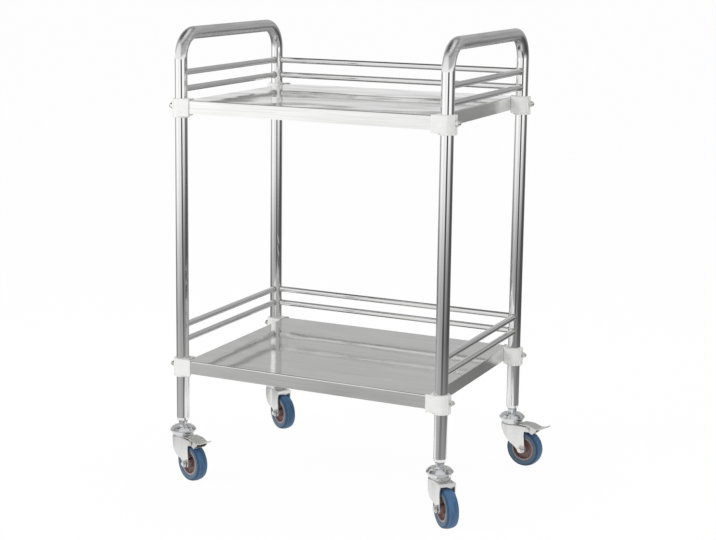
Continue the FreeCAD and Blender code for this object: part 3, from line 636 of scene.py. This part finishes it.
for corner in corners:
    spin = joints[corner + "_wheel_spin"]
    middle = Vector(spin["pos_m"])
    axis = Vector(spin["axis"])

    # Rubber, compression-moulded and non-marking: mid blue with a low sheen, with painted shade on
    # the rounded shoulders, and dusty on the side walls. The mould's lines are drawn 2 mm apart.
    rubber, tree, place = new_material("blue_rubber_" + corner)
    wheel_place = about_axis(tree, place, middle, axis)
    radius, height = off_and_along(tree, wheel_place)
    off_middle = add_node(tree, "ShaderNodeMath", {0: height}, operation="ABSOLUTE")
    mould_lines = grain(tree, wheel_place, (30, 30, 2.0), detail=4.0)
    scuffs = grain(tree, wheel_place, (7, 7, 5), detail=4.0)
    faint_scuffs = add_node(tree, "ShaderNodeMath", {0: scuffs, 1: 0.35}, operation="MULTIPLY")
    tread_colour = blend_colours(tree, between(tree, mould_lines, 0.0, 1.0), "#14375d", "#3f709f")
    dusty_tread = blend_colours(tree, faint_scuffs, tread_colour, "#7296b4")
    # Painted shade: the tread colour darkens towards the rounded shoulders.
    painted_shoulder_shade = add_node(tree, "ShaderNodeMapRange", {
        "Value": off_middle,
        "From Min": shoulder_starts,
        "From Max": shoulder_full,
        "To Max": 0.85,
    }, interpolation_type="SMOOTHSTEP")
    tread_with_painted_shade = blend_colours(tree, painted_shoulder_shade, dusty_tread, "#1f3f5e")
    on_wall = add_node(tree, "ShaderNodeMapRange", {
        "Value": radius, "From Min": wall_starts, "From Max": wall_full,
    })
    wall_colour = blend_colours(tree, scuffs, "#385873", "#6c8596")
    tread_relief = add_node(tree, "ShaderNodeBump", {
        "Height": mould_lines, "Strength": 0.35, "Distance": 0.25 * MM,
    })
    scuffed = add_node(tree, "ShaderNodeBump", {
        "Height": scuffs, "Strength": 0.2, "Distance": 0.2 * MM, "Normal": tread_relief,
    })
    finish(tree, {
        "Base Color": blend_colours(tree, on_wall, tread_with_painted_shade, wall_colour),
        "Roughness": between(tree, scuffs, 0.42, 0.6),
        "IOR": 1.52,
        "Normal": scuffed,
    })
    dress([corner + "_castor_tyre"], rubber)

    # Nylon, moulded: dark reddish brown with flow lines out from the bore.
    brown, tree, place = new_material("brown_nylon_" + corner)
    wheel_place = about_axis(tree, place, middle, axis)
    moulding = grain(tree, wheel_place, (5, 5, 3), detail=3.0)
    hub_round = add_node(tree, "ShaderNodeBevel", {"Radius": hub_edge}, samples=8)
    satin = add_node(tree, "ShaderNodeBump", {
        "Height": moulding, "Strength": 0.2, "Distance": 0.1 * MM, "Normal": hub_round,
    })
    finish(tree, {
        "Base Color": blend_colours(tree, moulding, "#6b4d4a", "#a68b8b"),
        "Roughness": between(tree, moulding, 0.38, 0.5),
        "IOR": 1.53,
        "Normal": satin,
    })

    # The rim's edge ring, scuffed grey by thresholds and floors.
    scuffed_ring, tree, place = new_material("scuffed_rim_" + corner)
    wheel_place = about_axis(tree, place, middle, axis)
    wear = grain(tree, wheel_place, (4, 4, 4), detail=4.0)
    finish(tree, {
        "Base Color": blend_colours(tree, wear, "#8f8487", "#b5abad"),
        "Roughness": between(tree, wear, 0.45, 0.6),
        "IOR": 1.53,
    })
    dress([corner + "_castor_wheel_hub"], brown)
    hub_mesh = nodes[corner + "_castor_wheel_hub"].data
    hub_mesh.materials.append(scuffed_ring)
    for face in hub_mesh.polygons:
        from_centre = face.center - middle
        face_height = from_centre.dot(axis)
        face_radius = (from_centre - axis * face_height).length
        if face_radius > rim_ring_inner and abs(face_height) > rim_ring_height:
            face.material_index = 1


# Brakes
# A rocking foot pedal on two of the castors, pressed from zinc-plated sheet. Ribs across its
# tread keep a shoe from slipping, and its own shoe closes on the tyre when the tip goes down.
braked = ("front_left", "back_right")
rib_count = 5
rib_radius = 0.8 * MM
rib_pitch = 3.4 * MM
rib_margin = 3.2 * MM
rib_half_length = 10.5 * MM
dress([corner + "_castor_brake_pin" for corner in braked], nickel)

# Zinc plate on the pedal, scuffed darker by shoes.
pedal_zinc, tree, place = new_material("scuffed_zinc_plate")
scuff_marks = grain(tree, place, (5, 5, 5), detail=4.0)
pedal_round = add_node(tree, "ShaderNodeBevel", {"Radius": sheet_edge}, samples=8)
scratched = add_node(tree, "ShaderNodeBump", {
    "Height": scuff_marks, "Strength": 0.25, "Distance": 0.1 * MM, "Normal": pedal_round,
})
finish(tree, {
    "Base Color": blend_colours(tree, scuff_marks, "#cfceca", "#efefed"),
    "Metallic": 1.0,
    "Roughness": between(tree, scuff_marks, 0.24, 0.42),
    "Normal": scratched,
})
dress([corner + "_castor_brake_pedal" for corner in braked], pedal_zinc)

ribs, inputs = node_tree("pedal_grip_ribs", ("Count", "Pitch", "Rib radius", "Half length"))
rib_step = add_node(ribs, "ShaderNodeCombineXYZ", {0: inputs["Pitch"]})
rib_points = add_node(ribs, "GeometryNodeMeshLine", {"Count": inputs["Count"], "Offset": rib_step})
other_half = add_node(ribs, "ShaderNodeMath", {
    0: inputs["Half length"], 1: -1.0,
}, operation="MULTIPLY")
rib_start = add_node(ribs, "ShaderNodeCombineXYZ", {1: other_half})
rib_end = add_node(ribs, "ShaderNodeCombineXYZ", {1: inputs["Half length"]})
rib_line = add_node(ribs, "GeometryNodeCurvePrimitiveLine", {"Start": rib_start, "End": rib_end})
rib_section = add_node(ribs, "GeometryNodeCurvePrimitiveCircle", {
    "Resolution": 12, "Radius": inputs["Rib radius"],
})
rib = add_node(ribs, "GeometryNodeCurveToMesh", {
    "Curve": rib_line, "Profile Curve": rib_section, "Fill Caps": True,
})
rib_row = add_node(ribs, "GeometryNodeInstanceOnPoints", {"Points": rib_points, "Instance": rib})
end_tree(ribs, turned_copies(ribs, inputs["Geometry"], rib_row), pedal_zinc)

for corner in braked:
    swivel = Vector(joints[corner + "_swivel"]["pos_m"])
    axis = Vector(joints[corner + "_wheel_spin"]["axis"])
    ahead = axis.cross(Vector((0, 0, 1)))
    pedal_points = [vertex.co for vertex in nodes[corner + "_castor_brake_pedal"].data.vertices]
    root = min((point - swivel).dot(ahead) for point in pedal_points)
    tread_top = max(point.z for point in pedal_points if (point - swivel).dot(ahead) < root + MM)
    first_rib = swivel + ahead * (root + rib_margin)
    first_rib.z = tread_top
    turn = (0, 0, math.atan2(ahead.y, ahead.x))
    rib_sizes = {
        "Count": rib_count,
        "Pitch": rib_pitch,
        "Rib radius": rib_radius,
        "Half length": rib_half_length,
    }
    spots = [(first_rib, turn)]
    grow(corner + "_pedal_ribs", ribs, rib_sizes, spots, "brake_" + corner)


# Camera
# The trolley is seen from its front right, a little above the upper shelf, through a long lens
# set some three metres away, as the product picture was taken.
trolley_middle = Vector(((leg_x["left"] + leg_x["right"]) / 2, (leg_y["front"] + leg_y["back"]) / 2, 0))
camera_offset = Vector((1345.8, -2840.4, 1070.4)) * MM
camera_place = trolley_middle + camera_offset
camera_azimuth = math.radians(26.44)
camera_elevation = math.radians(9.81)
camera_roll = math.radians(0.49)
backward = Vector((
    math.sin(camera_azimuth) * math.cos(camera_elevation),
    -math.cos(camera_azimuth) * math.cos(camera_elevation),
    math.sin(camera_elevation),
))
level_right = Vector((math.cos(camera_azimuth), math.sin(camera_azimuth), 0))
level_up = backward.cross(level_right)
rightward = math.cos(camera_roll) * level_right + math.sin(camera_roll) * level_up
upward = backward.cross(rightward)
lens = bpy.data.cameras.new("camera")
lens.sensor_width = 36
lens.lens = 80.9
lens.shift_x = 0.0494
lens.shift_y = -0.079
camera = bpy.data.objects.new("camera", lens)
turn = Matrix((rightward, upward, backward)).transposed().to_4x4()
camera.matrix_world = Matrix.Translation(camera_place) @ turn
scene.collection.objects.link(camera)
scene.camera = camera


# Studio
# A white sweep of paper under and behind the trolley, soft boxes, and the room round them. Two
# dark strips stand by the left castors, so that the steel has edges to show. Places and sizes
# of the studio are metres.
def by_ray(tree, in_steel, straight, other_light):
    """One look for the camera, one for what gloss and glass show, and one for all other light."""
    ray = add_node(tree, "ShaderNodeLightPath").outputs
    camera_or_gloss = add_node(tree, "ShaderNodeMath", {
        0: ray["Is Camera Ray"], 1: ray["Is Glossy Ray"],
    }, operation="MAXIMUM")
    seen_directly = add_node(tree, "ShaderNodeMath", {
        0: camera_or_gloss, 1: ray["Is Transmission Ray"],
    }, operation="MAXIMUM")
    seen = add_node(tree, "ShaderNodeMixShader", {0: ray["Is Camera Ray"], 1: in_steel, 2: straight})
    return add_node(tree, "ShaderNodeMixShader", {0: seen_directly, 1: other_light, 2: seen})


def stage_plane(name, centre, facing, width, height, material):
    """A flat rectangle of the studio, which isn't part of the trolley."""
    side = Vector((0, 0, 1)).cross(facing)
    side = side.normalized() if side.length > MM else Vector((1, 0, 0))
    rise = facing.cross(side)
    quarters = ((-1, -1), (1, -1), (1, 1), (-1, 1))
    outline = [centre + side * a * width / 2 + rise * b * height / 2 for a, b in quarters]
    mesh = bpy.data.meshes.new(name)
    mesh.from_pydata(outline, [], [(0, 1, 2, 3)])
    mesh.materials.append(material)
    flat = bpy.data.objects.new(name, mesh)
    scene.collection.objects.link(flat)
    return flat


def shade_stops(ramp, stops, first=0, last=1):
    """Sets a grey ramp's stops, each a place from first to last and its level."""
    elements = ramp.color_ramp.elements
    while len(elements) < len(stops):
        elements.new(1.0)
    for element, (spot, level) in zip(elements, stops):
        element.position = (spot - first) / (last - first)
        element.color = (level, level, level, 1.0)


# White paper. Straight on it is white with only a trace of shade. Polished steel sees a painted
# reflection of it: a painted pool of light close to the castors, painted shade a pace away, white
# again at the walls, and crossed by painted shadows of stands, doorway and curtain, whose bearings
# from +X are given here.
paper, tree, place = new_material("white_paper_sweep")
lit = add_node(tree, "ShaderNodeBsdfDiffuse", {"Color": colour("#f4f4f4")})
white = add_node(tree, "ShaderNodeEmission", {"Color": colour("#ffffff"), "Strength": 1.0})
direct = add_node(tree, "ShaderNodeMixShader", {0: 0.97, 1: lit, 2: white})
shaded_reach = 10
from_trolley = add_node(tree, "ShaderNodeVectorMath", {0: place}, operation="LENGTH").outputs["Value"]
reach = add_node(tree, "ShaderNodeMath", {0: from_trolley, 1: shaded_reach}, operation="DIVIDE")
shade = add_node(tree, "ShaderNodeValToRGB", {0: reach})
distances = ((0, 0.27), (1.7, 0.24), (2.6, 0.38), (3.8, 0.66), (5.9, 0.92), (8, 1.0))
shade_stops(shade, distances, 0, shaded_reach)
# Painted light that leans: the shade is lighter towards the front left and darker away from it.
outward = add_node(tree, "ShaderNodeVectorMath", {0: place}, operation="NORMALIZE")
to_front_left = add_node(tree, "ShaderNodeVectorMath", {
    0: outward, 1: (-0.71, -0.71, 0),
}, operation="DOT_PRODUCT").outputs["Value"]
unshaded = add_node(tree, "ShaderNodeMath", {0: 1.0, 1: shade}, operation="SUBTRACT")
lean = add_node(tree, "ShaderNodeMath", {
    0: to_front_left, 1: unshaded, 2: 1.0,
}, operation="MULTIPLY_ADD")
spot = add_node(tree, "ShaderNodeSeparateXYZ", {0: place}).outputs
bearing = add_node(tree, "ShaderNodeMath", {0: spot["Y"], 1: spot["X"]}, operation="ARCTAN2")
around = add_node(tree, "ShaderNodeMapRange", {
    "Value": bearing, "From Min": -math.pi, "From Max": math.pi,
})
shadows = add_node(tree, "ShaderNodeValToRGB", {0: around})
shade_stops(shadows, (
    (-180, 0.42), (-168, 0.42), (-158, 1.0), (-122, 1.0), (-111, 0.82), (-72, 1.0), (-66, 0.08),
    (-47, 0.08), (-41, 1.0), (-10, 0.95), (5, 0.5), (12, 0.14), (48, 0.12), (60, 0.25),
    (97, 0.25), (106, 0.6), (120, 1.0), (148, 1.0), (156, 0.42),
), -180, 180)
# Painted light under the curtain: the least level that steel sees at these bearings.
painted_curtain_foot_level = add_node(tree, "ShaderNodeValToRGB", {0: around})
shade_stops(painted_curtain_foot_level, ((0, 0.07), (66, 0.07), (74, 0.37), (95, 0.37), (102, 0.07)), -180, 180)
leaning = add_node(tree, "ShaderNodeMath", {0: shade, 1: lean}, operation="MULTIPLY")
crossed = add_node(tree, "ShaderNodeMath", {0: leaning, 1: shadows}, operation="MULTIPLY")
deep_shade = add_node(tree, "ShaderNodeMath", {0: crossed, 1: painted_curtain_foot_level}, operation="MAXIMUM")
# Painted fill light: within a pace of the trolley the shade is lifted towards light grey.
painted_fill_light = add_node(tree, "ShaderNodeMapRange", {
    "Value": from_trolley, "From Min": 0.6, "From Max": 1.6, "To Min": 0.48, "To Max": 0.0,
})
filled_shade = blend_colours(tree, painted_fill_light, deep_shade, "#aaaaaa")
paper_shade = add_node(tree, "ShaderNodeMath", {0: filled_shade, 1: 1.18}, operation="MULTIPLY")
# A painted pool of light round each castor, then the painted reflection that steel sees.
quarter = add_node(tree, "ShaderNodeVectorMath", {0: place}, operation="ABSOLUTE")
corner_castor = ((leg_x["right"] - leg_x["left"]) / 2, (leg_y["back"] - leg_y["front"]) / 2, 0)
from_castor = add_node(tree, "ShaderNodeVectorMath", {
    0: quarter, 1: corner_castor,
}, operation="DISTANCE").outputs["Value"]
painted_reflection_level = add_node(tree, "ShaderNodeMapRange", {
    "Value": from_castor, "From Min": 0.2, "From Max": 0.36, "To Min": 0.95, "To Max": paper_shade,
}, interpolation_type="SMOOTHSTEP")
painted_reflection = add_node(tree, "ShaderNodeEmission", {
    "Color": colour("#ffffff"), "Strength": painted_reflection_level,
})
add_node(tree, "ShaderNodeOutputMaterial", {"Surface": by_ray(tree, painted_reflection, direct, lit)})
stage_plane("floor", Vector((0, 0, 0)), Vector((0, 0, 1)), 60, 60, paper)

# The studio's walls and ceiling. What steel shows of them is white at eye level, greyer above
# and lighter again overhead, with a tall white wall at the front left, a grey curtain behind
# on the right, and a covered skylight high on the left. On everything else they are even light.
world = bpy.data.worlds.new("studio")
world.use_nodes = True
scene.world = world
tree = world.node_tree
tree.nodes.clear()
direction = add_node(tree, "ShaderNodeTexCoord").outputs["Generated"]
rise = add_node(tree, "ShaderNodeSeparateXYZ", {0: direction}).outputs["Z"]
ceiling = add_node(tree, "ShaderNodeValToRGB", {0: rise})
shade_stops(ceiling, (
    (0.03, 1.0), (0.085, 0.85), (0.115, 0.58), (0.25, 0.49), (0.36, 0.53), (0.6, 0.5),
    (0.74, 0.14), (0.86, 0.75), (1.0, 0.9),
))

# The curtain, the covered skylight and the white wall: the bearing and rise of each one's
# middle in degrees, the cosines off it where its edge starts and is full, and its colour.
patches = (
    (72, 0, 0.85, 0.94, "#adadad"),
    (180, 61, 0.86, 0.93, "#5a5a5a"),
    (240, 0, 0.45, 0.75, "#fcfcfc"),
)
room = ceiling
for bearing, tilt, edge, full, paint in patches:
    bearing, tilt = math.radians(bearing), math.radians(tilt)
    towards = (math.cos(bearing) * math.cos(tilt), math.sin(bearing) * math.cos(tilt), math.sin(tilt))
    facing = add_node(tree, "ShaderNodeVectorMath", {
        0: direction, 1: towards,
    }, operation="DOT_PRODUCT").outputs["Value"]
    patch = add_node(tree, "ShaderNodeMapRange", {
        "Value": facing, "From Min": edge, "From Max": full,
    }, interpolation_type="SMOOTHSTEP")
    room = blend_colours(tree, patch, room, paint)
in_steel = add_node(tree, "ShaderNodeBackground", {"Color": room, "Strength": 1.0})
straight = add_node(tree, "ShaderNodeBackground", {"Color": colour("#ffffff"), "Strength": 1.0})
soft = add_node(tree, "ShaderNodeBackground", {"Color": colour("#ffffff"), "Strength": 0.55})
add_node(tree, "ShaderNodeOutputWorld", {"Surface": by_ray(tree, in_steel, straight, soft)})

# A dark painted strip stands by each left castor. Only polished metal sees it, and it draws a
# line up the foot of the leg.
strip_width = 0.07
strip_height = 0.13
from_leg = Vector((0.22, -0.27, 0))
strip_paint, tree = new_material("foot_strip")[:2]
painted = add_node(tree, "ShaderNodeEmission", {"Color": colour("#454545"), "Strength": 1.0})
add_node(tree, "ShaderNodeOutputMaterial", {"Surface": painted})
for y in leg_y.values():
    centre = Vector((leg_x["left"], y, strip_height / 2)) + from_leg
    facing = -from_leg.normalized()
    strip = stage_plane("foot_strip", centre, facing, strip_width, strip_height, strip_paint)
    strip.visible_camera = False
    strip.visible_diffuse = False
    strip.visible_shadow = False


def soft_box(name, place, size, power):
    """A soft box aimed at the middle of the trolley."""
    light = bpy.data.lights.new(name, "AREA")
    light.shape = "RECTANGLE"
    light.size, light.size_y = size
    light.energy = power
    lamp = bpy.data.objects.new(name, light)
    lamp.location = place
    lamp.visible_glossy = False
    aim = Vector((0, 0, 0.45)) - Vector(place)
    lamp.rotation_mode = "QUATERNION"
    lamp.rotation_quaternion = aim.to_track_quat("-Z", "Y")
    scene.collection.objects.link(lamp)


soft_box("key", (-2.2, -2.4, 2.6), (1.2, 1.8), 60)
soft_box("fill", (2.6, -1.6, 1.6), (1.0, 1.6), 13)
soft_box("top", (0.2, 0.6, 2.9), (1.4, 1.4), 30)
